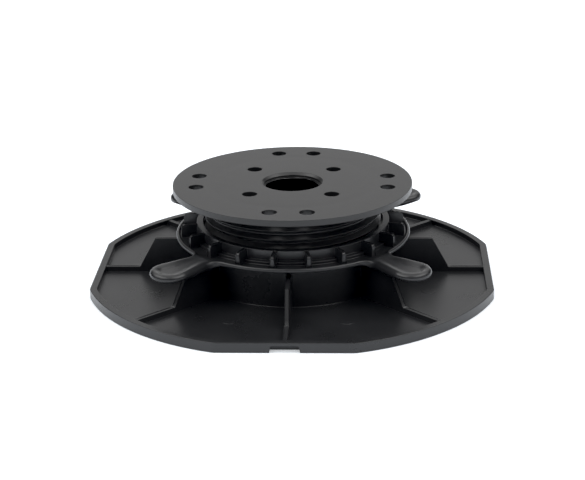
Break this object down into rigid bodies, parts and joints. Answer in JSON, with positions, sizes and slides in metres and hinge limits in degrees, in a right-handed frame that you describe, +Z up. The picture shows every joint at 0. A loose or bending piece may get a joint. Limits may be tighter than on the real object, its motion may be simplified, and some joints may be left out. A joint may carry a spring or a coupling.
{
  "type": "raised floor pedestal",
  "caption": "Low round plastic pedestal: gusseted base with flat sides, an adjusting ring with paddles, and a drilled disc head on a coarse threaded stem that rises as the ring turns.",
  "frame": {"origin": "centre of the base's underside, on the surface it stands on", "axes": "+Z up along the thread's axis; -Y towards the flat with the drain notch, the front in use of this record; X and Y square to the four flats"},
  "size_m": [0.19, 0.19, 0.0479],
  "materials": {
    "base_plastic": "satin black moulded polypropylene",
    "ring_plastic": "satin black moulded polypropylene",
    "head_plastic": "satin black moulded polypropylene"
  },
  "bodies": {
    "base_body": {"base": "base_plastic"},
    "ring_body": {"adjusting_ring": "ring_plastic"},
    "head_body": {"head": "head_plastic"}
  },
  "joints": [
    {"name": "ring_turn", "type": "hinge", "parent": "base_body", "child": "ring_body", "pos_m": [0, 0, 0], "axis": [0, 0, 1], "range_deg": [-180, 1260]},
    {"name": "head_lift", "type": "slide", "parent": "base_body", "child": "head_body", "axis": [0, 0, 1], "range_m": [-0.01505, 0.00215]}
  ],
  "couplings": [
    {"joint": "head_lift", "follows": "ring_turn", "m_per_rad": -0.00068437}
  ]
}
